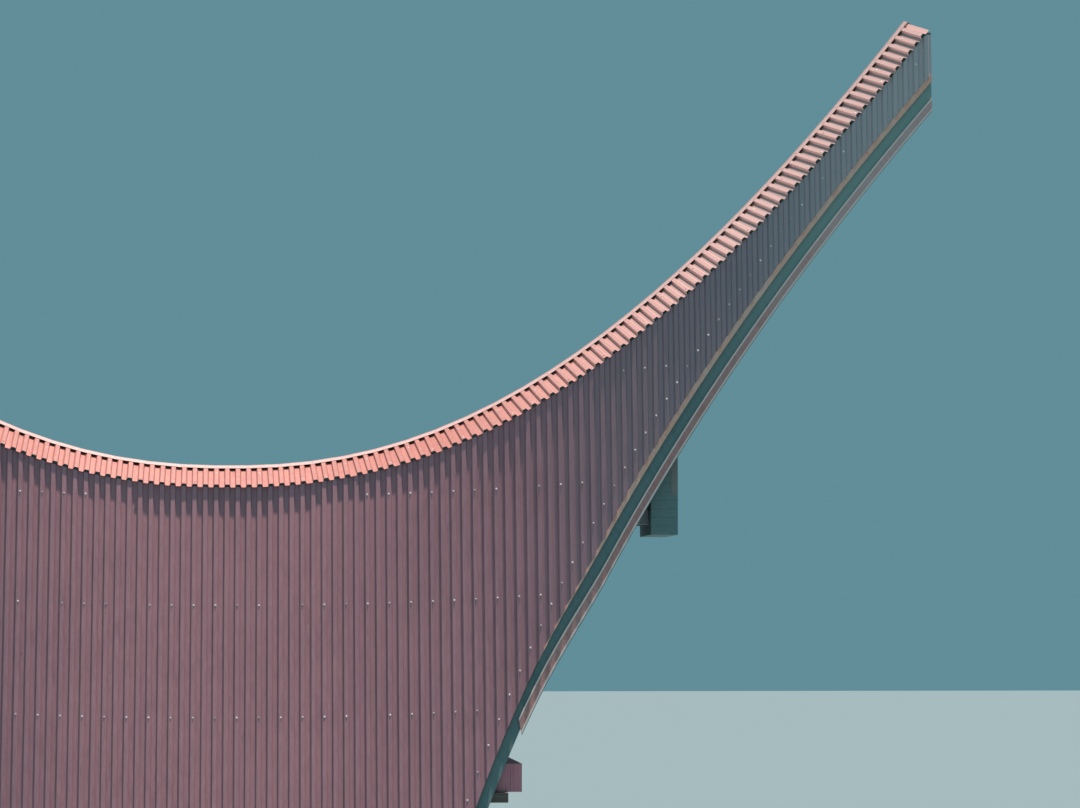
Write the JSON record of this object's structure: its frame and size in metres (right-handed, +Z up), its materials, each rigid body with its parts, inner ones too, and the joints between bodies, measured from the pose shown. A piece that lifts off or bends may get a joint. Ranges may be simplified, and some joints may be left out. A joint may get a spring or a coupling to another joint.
{
  "type": "tongkonan house",
  "caption": "Raised timber house with a long saddle-shaped roof of ribbed steel sheet whose ridge sweeps up into two prows over hanging gable panels.",
  "frame": {"origin": "on the ground, under the middle of the ridge", "axes": "+X along the ridge, +Y across the house to the back, +Z up"},
  "size_m": [26.6162, 4.963, 20.2461],
  "materials": {
    "sheet_paint": "faded maroon paint on ribbed steel sheet",
    "course_paint": "sun-bleached red paint on ribbed steel sheet",
    "strip_paint": "pale flashing strip",
    "trim_metal": "pale metal edging",
    "lining_wood": "weathered tan boards",
    "dark_board": "dark painted board",
    "red_board": "faded red-brown painted board",
    "frame_timber": "dark sawn timber",
    "wall_panel": "stained wall boards",
    "pile_timber": "weathered posts",
    "pad_stone": "rough stone pads"
  },
  "bodies": {
    "root": {"end_wall_left": "wall_panel", "end_wall_right": "wall_panel", "floor": "frame_timber", "floor_sill_back": "frame_timber", "floor_sill_front": "frame_timber", "floor_sill_middle": "frame_timber", "gable_deck_left": "frame_timber", "gable_deck_right": "frame_timber", "gable_sill_left": "wall_panel", "gable_sill_right": "wall_panel", "gable_wall_left": "wall_panel", "gable_wall_right": "wall_panel", "hanging_panel_left": "dark_board", "hanging_panel_right": "dark_board", "lining_back": "lining_wood", "lining_front": "lining_wood", "pile_frame_1": "pile_timber", "pile_frame_2": "pile_timber", "pile_frame_3": "pile_timber", "pile_frame_4": "pile_timber", "pile_frame_5": "pile_timber", "pile_tie_back": "pile_timber", "pile_tie_front": "pile_timber", "pile_tie_middle": "pile_timber", "rake_board_back_left": "dark_board", "rake_board_back_right": "dark_board", "rake_board_front_left": "dark_board", "rake_board_front_right": "dark_board", "rake_trim_back_left": "red_board", "rake_trim_back_right": "red_board", "rake_trim_front_left": "red_board", "rake_trim_front_right": "red_board", "ridge_beam": "frame_timber", "ridge_course_back": "course_paint", "ridge_course_front": "course_paint", "ridge_strip": "strip_paint", "roof_back": "sheet_paint", "roof_front": "sheet_paint", "side_wall_back": "wall_panel", "side_wall_front": "wall_panel", "upper_beam_back": "frame_timber", "upper_beam_front": "frame_timber", "wall_plate_back": "frame_timber", "wall_plate_front": "frame_timber"}
  },
  "joints": []
}
